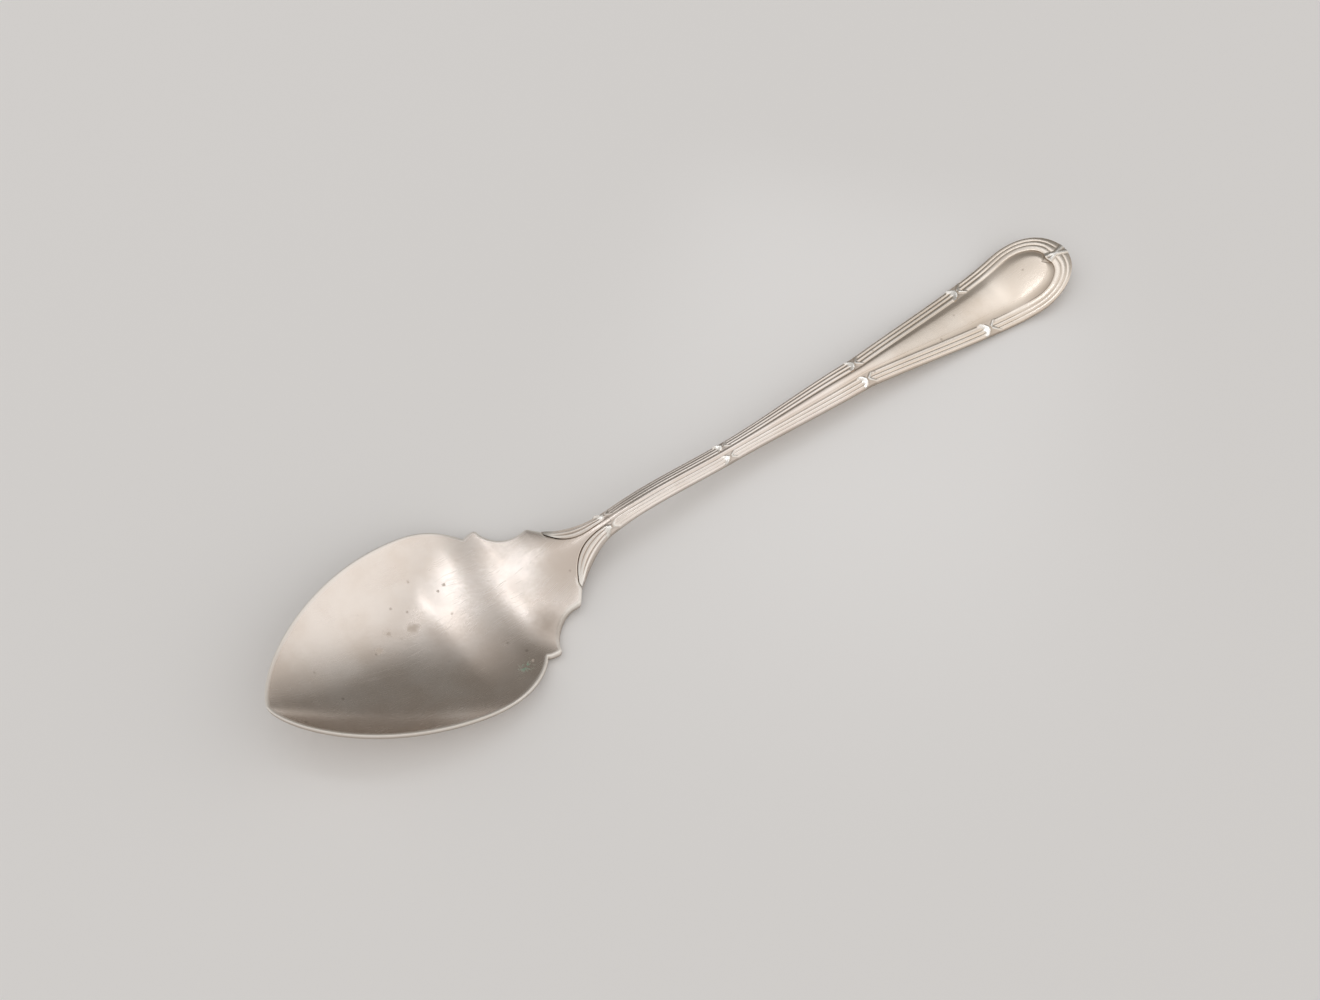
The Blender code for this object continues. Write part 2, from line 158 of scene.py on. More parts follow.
def touchAngle():  # where the straight flank runs into the ellipse
    along = (spoonPlan["flare"] - spoonPlan["round"]) / handleShape["endRound"]
    across = handleShape["flareWidth"] / handleShape["endWidth"]
    return math.atan2(across, along) - math.acos(1 / math.hypot(along, across))


touch = endPoint(touchAngle())


def handleHalf(x):
    if x <= spoonPlan["neck"]:
        return armHalf(x)
    flare = handleShape["flareWidth"] / 2
    if x > spoonPlan["flare"]:
        return flare + (touch.y - flare) * (x - spoonPlan["flare"]) / (touch.x - spoonPlan["flare"])
    stem = handleShape["stemWidth"] / 2
    return smoothThrough([(spoonPlan["neck"], handleShape["neckWidth"] / 2), (spoonPlan["crest"], stem),
                          (spoonPlan["stemTie"], stem), (spoonPlan["flare"], flare)], x)


def borderWidth(x):  # the whole arm in the fork, a reeded strip along the stem
    return armHalf(x) - slotHalf(x) if x <= spoonPlan["neck"] else smoothThrough(handleShape["border"], x)


def heelRise(x):  # how far the centre line has climbed from the floor of the bowl
    rise = 0.0
    for (x0, slope0), (x1, slope1) in zip(bowlShape["heelSlopes"], bowlShape["heelSlopes"][1:]):
        run = x1 - x0
        t = min(1.0, max(0.0, (x - x0) / run))
        rise += run * (slope0 * t + (slope1 - slope0) * (t**3 - t**4 / 2))
    return rise


def spineHeight(x):  # upper surface on the centre line
    low = bowlShape["floorHeight"]
    floor, slope = bowlShape["heelSlopes"][0]
    if x <= floor:
        drop = bowlShape["tipHeight"] - low + slope * floor
        return low + slope * (x - floor) + drop * (1 - x / floor) ** bowlShape["tipSweep"]
    if x <= spoonPlan["crest"]:
        return low + heelRise(x)
    return smoothThrough([(spoonPlan["crest"], low + heelRise(spoonPlan["crest"]))] + handleShape["heights"], x)


def edgeRise(x):  # of the edge over the centre line
    if x > spoonPlan["neck"]:
        return smoothThrough(handleShape["rises"], x)
    edge = smoothThrough(bowlShape["edges"], x, bowlShape["tipEdgeSlope"], bowlShape["neckEdgeSlope"])
    return edge - spineHeight(x)


def dishHalf(x):  # half width that the rise is measured over, without steps and scallops
    if x <= spoonPlan["widest"]:
        return bowlHalf(x)
    if x > spoonPlan["neck"]:
        return handleHalf(x)
    return smoothThrough([(spoonPlan["widest"], bowlShape["width"] / 2),
                          (spoonPlan["cusp"], bowlHalf(spoonPlan["shoulder"]) + bowlShape["cuspReach"]),
                          (spoonPlan["fork"], handleShape["yokeWidth"] / 2),
                          (spoonPlan["neck"], handleShape["neckWidth"] / 2)], x)


def topHeight(x, y):
    if x <= 0:
        return bowlShape["tipHeight"]
    share = (y / dishHalf(x)) ** 2
    fullness = smoothThrough(bowlShape["fullness"], x)
    return spineHeight(x) + edgeRise(x) * share - fullness * share * (1 - share)


def slopes(x, y):  # of the upper surface, along and across
    here = topHeight(x, y)
    along = (topHeight(x + slopeStep, y) - here) / slopeStep
    across = (topHeight(x, y + slopeStep) - here) / slopeStep if y > 0 else 0.0
    return along, across


def leaning(x):  # 1 where the side walls stand square to the plate, 0 where they are upright
    return ease(*sideWalls["leanStart"], x) * (1 - ease(*sideWalls["leanEnd"], x))


def edgeDrop(distance, radius):  # how far a rounded edge has dropped, near the outline
    return radius - math.sqrt(radius**2 - (radius - distance) ** 2) if distance < radius else 0.0


def wallShade(distance):  # painted shade on the side walls and underside, darkest at the outline
    return sideWalls["grime"] * (1 - ease(*sideWalls["shadeReach"], distance))


# Mesh work, done the same way for both pieces
def deselectAll():
    bpy.ops.object.select_all(action="DESELECT")


def layGrid(name, rowCount, columnCount, places):  # a grid laid out on the half with y above 0
    deselectAll()
    bpy.ops.mesh.primitive_grid_add(x_subdivisions=rowCount - 1, y_subdivisions=columnCount - 1, size=2)
    piece = bpy.context.object
    piece.name = name
    piece.data.name = name
    for count in ("row", "column"):
        piece.data.attributes.new(count, "INT", "POINT")
    rowOf, columnOf = [piece.data.attributes[count].data for count in ("row", "column")]
    for vertex in piece.data.vertices:
        row = round((vertex.co.x + 1) / 2 * (rowCount - 1))
        column = round((vertex.co.y + 1) / 2 * (columnCount - 1))
        rowOf[vertex.index].value = row
        columnOf[vertex.index].value = column
        vertex.co = places[row][column]["top"]
    return piece


def dropFaces(piece, wanted):  # deletes the faces that wanted() picks
    bpy.ops.object.mode_set(mode="EDIT")
    bpy.ops.mesh.select_mode(type="FACE")
    bpy.ops.mesh.select_all(action="DESELECT")
    bpy.ops.object.mode_set(mode="OBJECT")
    for face in piece.data.polygons:
        face.select = wanted([piece.data.vertices[i] for i in face.vertices])
    bpy.ops.object.mode_set(mode="EDIT")
    bpy.ops.mesh.delete(type="FACE")
    bpy.ops.object.mode_set(mode="OBJECT")


def thicken(piece, places):  # extrudes the sheet and lays the new faces on the underside
    bpy.ops.object.mode_set(mode="EDIT")
    bpy.ops.mesh.select_mode(type="VERT")
    bpy.ops.mesh.select_all(action="SELECT")
    bpy.ops.mesh.extrude_region_move(TRANSFORM_OT_translate={"value": (0, 0, -mm)})
    bpy.ops.object.mode_set(mode="OBJECT")
    mesh = piece.data
    for name in ("grime", "rub", "upper"):
        mesh.attributes.new(name, "FLOAT", "POINT")
    rowOf, columnOf = [mesh.attributes[name].data for name in ("row", "column")]
    grime, rub, upper = [mesh.attributes[name].data for name in ("grime", "rub", "upper")]
    for vertex in mesh.vertices:
        place = places[rowOf[vertex.index].value][columnOf[vertex.index].value]
        if vertex.select:
            # the underside takes the painted wall shade, the upper side its dirt
            vertex.co = place["under"]
            grime[vertex.index].value = place["wallShade"]
        else:
            grime[vertex.index].value = place["grime"]
            rub[vertex.index].value = place["rub"]
            upper[vertex.index].value = 1.0


def closeHalf(piece):  # opens the centre plane, mirrors the half and welds it
    dropFaces(piece, lambda corners: all(abs(corner.co.y) < 1e-7 for corner in corners))
    mirror = piece.modifiers.new("Mirror", "MIRROR")
    mirror.use_axis = (False, True, False)
    mirror.merge_threshold = 1e-6
    bpy.ops.object.modifier_apply(modifier="Mirror")
    bpy.ops.object.mode_set(mode="EDIT")
    bpy.ops.mesh.select_all(action="SELECT")
    bpy.ops.mesh.remove_doubles(threshold=1e-6)
    bpy.ops.mesh.normals_make_consistent(inside=False)
    bpy.ops.object.mode_set(mode="OBJECT")


def spot(x, y, z):  # mm from the tip to metres in the frame
    return Vector((x - spoonPlan["end"] / 2, y, z)) * mm


# Bowl
def bowlOutline():  # (x, half width) from the tip to the end of the tongue
    outline = [(0.0, 0.0)]
    outline += [(x, bowlHalf(x)) for x in steps(0, spoonPlan["widest"], 64, 1.7)]
    outline += [(x, bowlHalf(x)) for x in steps(spoonPlan["widest"], spoonPlan["shoulder"], 30)]
    corner = bowlHalf(spoonPlan["shoulder"])
    radius = bowlShape["cuspRound"]
    ledge = spoonPlan["cusp"] - radius - spoonPlan["shoulder"]
    for share in steps(0, 1, 10):
        reach = bowlShape["cuspReach"] * math.sqrt(share)
        outline.append((spoonPlan["shoulder"] + ledge * share, corner + reach))
    cusp = corner + bowlShape["cuspReach"] - radius
    for angle in steps(0, math.pi / 2, 9):
        x = spoonPlan["cusp"] - radius * (1 - math.sin(angle))
        outline.append((x, cusp + radius * math.cos(angle)))
    heel = bowlShape["heelWidth"] / 2
    narrow = heel - bowlShape["scallopDip"]
    for angle in steps(0, math.pi / 2, 22):
        x = spoonPlan["narrow"] - (spoonPlan["narrow"] - spoonPlan["cusp"]) * math.cos(angle)
        share = math.sin(angle) ** (2 / bowlShape["scallopFullness"])
        outline.append((x, cusp + (narrow - cusp) * share))
    corner = Vector((spoonPlan["heel"], heel))
    before = Vector((spoonPlan["narrow"], narrow))
    after = Vector((spoonPlan["fork"], handleShape["yokeWidth"] / 2))
    before = corner.lerp(before, bowlShape["heelRound"] / (before - corner).length)
    after = corner.lerp(after, bowlShape["heelRound"] / (after - corner).length)
    for share in [0.0] + steps(0, 1, 8):
        outline.append(tuple(before.lerp(corner, share).lerp(corner.lerp(after, share), share)))
    step = spoonPlan["fork"] - bowlShape["seamGap"]
    for x in steps(after.x, step, 5):
        share = (x - spoonPlan["heel"]) / (spoonPlan["fork"] - spoonPlan["heel"])
        outline.append((x, heel + (handleShape["yokeWidth"] / 2 - heel) * share))
    start = step + bowlShape["seamGap"] / 4
    for x in [start] + steps(start, spoonPlan["neck"] - bowlShape["seamGap"], 40, 1.6):
        outline.append((x, slotHalf(x + bowlShape["seamGap"]) - bowlShape["seamGap"]))
    return outline


def outlineTree(outline):  # points close together along the outline, to measure distances to it
    spacing = 0.03
    points = []
    for (x0, y0), (x1, y1) in zip(outline, outline[1:]):
        count = max(1, math.ceil(math.hypot(x1 - x0, y1 - y0) / spacing))
        points += [(x0 + (x1 - x0) * k / count, y0 + (y1 - y0) * k / count) for k in range(count)]
    tree = kdtree.KDTree(len(points))
    for index, (x, y) in enumerate(points):
        tree.insert((x, y, 0), index)
    tree.balance()
    return tree


def bowlUnder(x, y):  # one plate thickness square to the upper surface
    thick = smoothThrough([(spoonPlan["widest"], bowlShape["thick"]),
                           (spoonPlan["heel"], bowlShape["heelThick"])], x)
    along, across = slopes(x, y)
    steep = math.sqrt(1 + along**2 + across**2)
    square = leaning(x)
    drop = thick * (steep + (1 / steep - steep) * square)
    return Vector((x + along * thick / steep * square, y, topHeight(x, y) - drop))


def bowlPlaces():
    outline = bowlOutline()
    tree = outlineTree(outline)
    inner = bowlShape["columns"]
    shares = [(1 - bowlShape["rimShare"]) * k / inner for k in range(inner + 1)]
    shares += [1 - bowlShape["rimShare"] * share for share in bowlShape["rimColumns"]]
    places = []
    for x, edge in outline:
        even = dishHalf(x) if x < spoonPlan["fork"] else edge
        row = []
        for share in shares:
            y = even * share + (edge - even) * share ** bowlShape["rimFollow"]
            distance = tree.find((x, y, 0))[2]
            seam = x > spoonPlan["fork"] - bowlShape["seamGap"]
            radius = smoothThrough(bowlShape["seamRounds"], x) if seam else bowlShape["rimRound"]
            drop = edgeDrop(distance, radius)
            grime = radius * (1 - ease(0, bowlShape["seamGrime"] * radius, distance)) if seam else 0.0
            # the rim's rubbed band is also a painted highlight
            row.append({"top": spot(x, y, topHeight(x, y) - drop),
                        "under": spot(*bowlUnder(x, y) + Vector((0, 0, drop))),
                        "grime": grime, "wallShade": wallShade(distance),
                        "rub": 0.0 if seam else 1 - ease(*bowlShape["rimRubHighlight"], distance)})
        places.append(row)
    return places


def makeBowl():
    places = bowlPlaces()
    bowl = layGrid("silverBowl", len(places), len(places[0]), places)
    thicken(bowl, places)
    closeHalf(bowl)
    bpy.ops.object.mode_set(mode="EDIT")  # worn flat under the belly
    bpy.ops.mesh.select_all(action="SELECT")
    bpy.ops.mesh.bisect(plane_co=(0, 0, 0), plane_no=(0, 0, 1), use_fill=True, clear_inner=True,
                        threshold=1e-7)
    bpy.ops.object.mode_set(mode="OBJECT")
    bpy.ops.object.shade_smooth_by_angle(angle=math.radians(40))
    print("bowl modelled:", len(bowl.data.polygons), "faces")
    return bowl


# Handle
def handleRows():  # edge point, point on the axis and border width of each row, in plan
    rows = []
    for share in [0.0] + steps(0, 1, handleShape["armRows"] - 1, 1.4)[:-1]:
        x = spoonPlan["fork"] + (spoonPlan["neck"] - spoonPlan["fork"]) * share
        rows.append((Vector((x, armHalf(x))), Vector((x, 0)), borderWidth(x)))
    x = spoonPlan["neck"]
    while x < touch.x - handleShape["tieStep"] / 2:
        rows.append((Vector((x, handleHalf(x))), Vector((x, 0)), borderWidth(x)))
        near = min(abs(x - tie) for tie in handleShape["ties"])
        x += handleShape["tieStep" if near < handleShape["tieReach"] * tieSize(x) else "rowStep"]
    squash = 1 - (handleShape["endWidth"] / 2 / handleShape["endRound"]) ** 2
    for angle in [touchAngle()] + steps(touchAngle(), 0, handleShape["endRows"]):
        edge = endPoint(angle)
        foot = spoonPlan["round"] + (edge.x - spoonPlan["round"]) * squash
        rows.append((edge, Vector((foot, 0)), borderWidth(edge.x)))
    return rows


def tieSize(x):  # the ties on the narrow stem are nearly as long as those on the blade
    return max(handleShape["tieLeast"], borderWidth(x))


def reedWidths(x):  # shares of the border, from the outer edge in
    blade = ease(spoonPlan["stemTie"], spoonPlan["rest"], x)
    return [a + (b - a) * blade for a, b in zip(handleShape["stemReeds"], handleShape["bladeReeds"])]


def reedRelief(share, widths, depth):  # rounded reeds with narrow valleys between them
    start = 0.0
    for width in widths:
        if share <= start + width + 1e-9:
            break
        start += width
    across = min(1.0, max(-1.0, 2 * (share - start) / width - 1))
    if start > 0 or across > 0:
        across *= handleShape["valley"]
    return -depth * (1 - math.sqrt(max(0.0, 1 - across**2)))


def capDome(share, length):  # section of a tie's cap, steep in front at 0 and sloping back to 1
    climb = min(1.0, share / handleShape["capFront"])
    front = math.sqrt(max(0.0, 1 - (1 - climb) ** 2))
    return handleShape["capSlope"] * length * (1 - share) * front


def tieRelief(along, across, width, size, reeds, lift):  # a cap, then opening ribbons; height and dirt
    side = abs(2 * across / width)
    ahead = along / size + handleShape["capBow"] * side**2
    length = handleShape["capLength"] * (1 - handleShape["capTaper"] * side**2)
    opening = (along / size - handleShape["tieGap"]) / handleShape["veeReach"]
    if ahead < -length or opening > 1:
        return reeds, 0.0
    if ahead <= 0:
        back = ease(handleShape["capBack"], 1, -ahead / length)
        dome = capDome(-ahead / length, length * size)
        return max(reeds, dome + lift * (1 - back) + reeds * back), 0.0
    inside = opening - side
    gape = 1 - ease(handleShape["gapeEnd"], 1, opening)
    if inside > 0:
        gape = 1 - ease(0, handleShape["gapeSoft"], inside)
    height = reeds + (-handleShape["notch"] - reeds) * gape
    off = abs(inside) / handleShape["ribbonHalf"]
    if opening > 0 and off < 1:
        crest = handleShape["ribbonRise"] * (1 - opening)
        height = max(height, height + (crest - height) * math.sqrt(1 - off**2))
        gape *= off
    return height, gape * handleWearAndHighlights["tieDirt"]


def crossRelief(aside, across, width, reeds):  # the last tie, two ribbons that cross on the end of the handle
    off = (aside - handleShape["crossReach"] * abs(2 * across / width)) / handleShape["crossHalf"]
    gape = 1 - ease(1, 2, off) if off > 0 else 1.0
    height = reeds + (-handleShape["crossNotch"] - reeds) * gape
    if abs(off) < 1:
        height = max(height, height + (handleShape["crossRise"] - height) * math.sqrt(1 - off**2))
        gape *= abs(off)
    return height, gape * handleWearAndHighlights["crossDirt"]


def knotBump(across, aside):  # small knot at the inner end of the last tie
    return handleShape["knotRise"] * max(0.0, 1 - (across**2 + aside**2) / handleShape["knotRound"] ** 2)


def rowFigures(edge, axis, width):  # what the places of one row share
    x = edge.x
    reach = (axis - edge).length
    half = handleHalf(min(x, touch.x))
    panel = reach - width
    widths = reedWidths(x)
    inArm = 1 - ease(*handleShape["armEnd"], x)
    blade = ease(*handleShape["levelSpan"], x)
    ending = ease(*handleShape["roundStart"], x)
    depth = min(handleShape["deepest"], handleShape["reedDepth"] * width / len(widths))
    depth *= (handleShape["stemDepth"] + handleShape["bladeGain"] * ease(*handleShape["bladeStart"], x)
              - handleShape["endLoss"] * ease(*handleShape["endStart"], x))
    depth = (depth + (handleShape["armDepth"] - depth) * inArm) * ease(*handleShape["reedStart"], x)
    groove = depth * (1 - math.sqrt(1 - handleShape["valley"] ** 2))
    groove *= handleShape["grooveDepth"] + handleShape["bladeGroove"] * blade
    swell = min(handleShape["panelSwell"], handleShape["swellLimit"] * panel)
    return {
        "x": x, "reach": reach, "half": half, "width": width, "panel": panel, "widths": widths, "depth": depth,
        "along": min([x - tie for tie in handleShape["ties"]], key=abs),  # past the nearest tie
        "level": -handleShape["stemLevel"] * (1 - blade) * edgeRise(x),
        "middle": 1 - width / 2 / half,
        "bank": handleShape["grooveWidth"] + (handleShape["endGroove"] - handleShape["grooveWidth"]) * ending,
        "groove": groove + handleShape["endGrooveDepth"] * ending,
        "swell": swell * ease(spoonPlan["neck"], spoonPlan["crest"], x),
        "armSwell": handleShape["armSwell"] * inArm * ease(*handleShape["armSwellStart"], x),
        "valleyDirt": 1 + handleWearAndHighlights["armDirt"] * inArm,
        "grooveDirt": (handleWearAndHighlights["grooveDirt"] + handleWearAndHighlights["bladeDirt"] * blade
                       + handleWearAndHighlights["endDirt"] * ending),
        "shine": handleWearAndHighlights["stemShine"] + handleWearAndHighlights["armShine"] * inArm,
    }


def rowOffsets(row):  # distances from the edge, closer together at the foot of each reed
    offsets = [0.0]
    start = 0.0
    count = handleShape["reedColumns"]
    for share in row["widths"]:
        for k in range(count):
            offsets.append(row["width"] * (start + share * (1 - math.cos(math.pi * (k + 1) / count)) / 2))
        start += share
    return offsets + [row["width"] + row["panel"] * share for share in handleShape["panelColumns"]]


def borderRelief(row, offset, share, aside):  # height, dirt, and rubbed wear with painted highlight on the reeded border
    width = row["width"]
    across = offset - width / 2
    relief = reedRelief(offset / width, row["widths"], row["depth"])
    dirt = 0.0
    if offset > handleWearAndHighlights["cleanEdge"] * width:
        dirt = (-relief / max(row["depth"], handleShape["leastDepth"])) ** 2 * row["valleyDirt"]
    if row["x"] > spoonPlan["round"] + handleShape["endRound"] / 2:
        relief, notch = crossRelief(aside, across, width, relief)
    else:
        lift = row["level"] * (share**2 - row["middle"] ** 2)
        relief, notch = tieRelief(row["along"], across, width, tieSize(row["x"]), relief, lift)
    # crests and tie caps are lightened: rubbed wear, and painted highlight as well
    rub = ease(*handleWearAndHighlights["tieRubHighlight"], relief) + row["shine"] * ease(*handleWearAndHighlights["reedRubHighlight"], relief)
    relief += row["armSwell"] * (1 - (2 * offset / width - 1) ** 2)
    return relief, max(dirt, notch), rub


def panelRelief(row, offset):  # height, dirt, and rubbed wear with painted highlight inside the border
    inside = (offset - row["width"]) / row["panel"]
    bed = ease(0, row["bank"], min(offset - row["width"], row["bank"] * inside * handleShape["bankLimit"]))
    relief = -row["groove"] * (1 - bed) + row["swell"] * (1 - (1 - inside) ** 2)
    return relief, (1 - bed) * row["grooveDirt"], 0.0


def handleUnder(place, level, share, offset):  # the back, and the walls that stand square in the arms
    thick = smoothThrough(handleShape["thickness"], place.x)
    back = spineHeight(place.x) - thick + smoothThrough(handleShape["backCrown"], place.x) * share**2
    wall = smoothThrough(handleShape["walls"], place.x)
    back = min(back, level - wall) + edgeDrop(offset, handleShape["backRound"])
    lean = slopes(place.x, place.y)[0] * wall * leaning(place.x)
    return spot(place.x + lean, place.y, back)


def handlePlaces():
    places = []
    for edge, axis, width in handleRows():
        row = rowFigures(edge, axis, width)
        inward = (axis - edge) / row["reach"]
        rounded = edge.x > touch.x
        placed = []
        for offset in rowOffsets(row):
            place = edge + inward * offset
            share = 1 - offset / row["reach"] if rounded else min(1.0, abs(place.y) / row["half"])
            if offset <= width + 1e-9:
                relief, dirt, rub = borderRelief(row, offset, share, place.y)
            else:
                relief, dirt, rub = panelRelief(row, offset)
            if rounded:
                relief += knotBump(offset - width, place.y)
            level = topHeight(place.x, share * row["half"])
            placed.append({"top": spot(place.x, place.y, level + relief),
                           "under": handleUnder(place, level, share, offset),
                           "grime": dirt, "wallShade": wallShade(offset), "rub": rub})
        places.append(placed)
    return places


def makeHandle():
    places = handlePlaces()
    handle = layGrid("silverHandle", len(places), len(places[0]), places)
    border = 3 * handleShape["reedColumns"]
    rowOf = handle.data.attributes["row"].data
    columnOf = handle.data.attributes["column"].data
    slotFaces = set()  # the tongue of the bowl fills these
    for face in handle.data.polygons:
        rows = [rowOf[i].value for i in face.vertices]
        columns = [columnOf[i].value for i in face.vertices]
        if min(rows) < handleShape["armRows"] - 1 and max(columns) > border:
            slotFaces.add(tuple(sorted(face.vertices)))
    dropFaces(handle, lambda corners: tuple(sorted(corner.index for corner in corners)) in slotFaces)
    thicken(handle, places)
    closeHalf(handle)
    bpy.ops.object.shade_smooth_by_angle(angle=math.radians(50))
    print("handle modelled:", len(handle.data.polygons), "faces")
    return handle


# Shader maths
class Wire:  # a socket that takes part in Python expressions
    def __init__(self, socket):
        self.socket = socket
        self.tree = socket.id_data

    def maths(self, operation, other=0.0, flip=False):
        node = self.tree.nodes.new("ShaderNodeMath")
        node.operation = operation
        for slot, value in zip(node.inputs, (other, self) if flip else (self, other)):
            if isinstance(value, Wire):
                self.tree.links.new(value.socket, slot)
            else:
                slot.default_value = value
        return Wire(node.outputs[0])

    def __add__(self, other):
        return self.maths("ADD", other)

    __radd__ = __add__

    def __sub__(self, other):
        return self.maths("SUBTRACT", other)

    def __rsub__(self, other):
        return self.maths("SUBTRACT", other, True)

    def __mul__(self, other):
        return self.maths("MULTIPLY", other)

    __rmul__ = __mul__

    def __or__(self, other):
        return self.maths("MAXIMUM", other)


class NodeBench:  # makes the nodes of one tree
    def __init__(self, tree):
        self.tree = tree
        tree.nodes.clear()

    def node(self, kind, settings=None, inputs=None, output=0):
        node = self.tree.nodes.new(kind)
        for key, value in (settings or {}).items():
            if key == "stops":
                ramp = node.color_ramp.elements
                while len(ramp) < len(value):
                    ramp.new(1.0)
                for stop, (position, color) in zip(ramp, value):
                    stop.position, stop.color = position, color
            else:
                setattr(node, key, value)
        for key, value in (inputs or {}).items():
            if isinstance(value, Wire):
                self.tree.links.new(value.socket, node.inputs[key])
            else:
                node.inputs[key].default_value = value
        return Wire(node.outputs[output]) if node.outputs else node

    def mix(self, factor, first, second, blend="MIX"):
        return self.node("ShaderNodeMix", {"data_type": "RGBA", "blend_type": blend},
                         {0: factor, 6: first, 7: second}, 2)

    def between(self, value, low, high, top=1.0):  # smooth step from 0 at low to top at high
        return self.node("ShaderNodeMapRange", {"interpolation_type": "SMOOTHSTEP"},
                         {0: value, 1: low, 2: high, 3: 0.0, 4: top})


silverLook = {
    "bright": (0.81, 0.74, 0.683, 1), "rubbedHighlight": (0.95, 0.92, 0.87, 1), "dull": (0.725, 0.635, 0.562, 1),
    "endWarmth": (1.0, 0.965, 0.90, 1), "endWarmSpan": (0.015, 0.045),  # m, toward the end of the handle
    "grime": (0.24, 0.19, 0.145, 1), "stains": (0.30, 0.21, 0.12, 1),
    "verdigris": (0.08, 0.29, 0.18, 1), "tarnish": (0.40, 0.33, 0.27, 1),
    "rubHighlightShare": 0.75, "pitShare": 0.4, "grimeAndShadeShare": 0.6,
    "roughness": 0.24, "roughnessSpread": 0.08, "scratchRoughness": 0.06, "dirtRoughness": 0.25,
    "hairlines": ((4, 150, 9000, 1), (-11, 190, 10000, 0.8), (38, 300, 9000, 0.3), (-63, 340, 9500, 0.3)),
    "wander": 0.0035, "rimRoughness": 0.3, "markDullness": 0.7,
}
silverRelief = {  # thousandths of a mm
    "waves": 26.0, "dings": 4.0, "grain": 5.0, "fineGrain": 1.0, "scratches": 0.6, "pits": 3.0,
}
noiseScale = {  # per m
    "patches": 110, "clouds": 420, "wander": 90, "scratched": 180, "pits": 420, "pitted": 260,
    "ragged": 1500, "verdigris": 2300, "grain": 1700, "fineGrain": 5000,
}
noiseSpan = {
    "dull": (0.35, 0.68), "scratches": (0.62, 0.74), "scratched": (0.35, 0.6),
    "pits": (0.05, 0.14), "pitted": (0.55, 0.62), "verdigris": (0.5, 0.62),
}
bowlMarks = {  # mm from the tip, mm from the centre line, mm across
    "stains": ((23.5, 3.5, 2.0), (20.0, 4.5, 1.2), (17.8, 2.9, 1.3), (30.7, 6.8, 0.5), (29.5, 6.4, 0.4),
               (26.6, 9.8, 0.5), (34.7, -10.7, 0.5)),
    "verdigris": ((33.4, -11.0, 2.6),),
    "tarnish": ((39.6, -7.2, 7.5),),
}
markLook = {"stains": 0.3, "verdigris": 0.8, "tarnish": 0.6, "fade": 0.62, "ragged": 1.8, "raggedMost": 1.6}


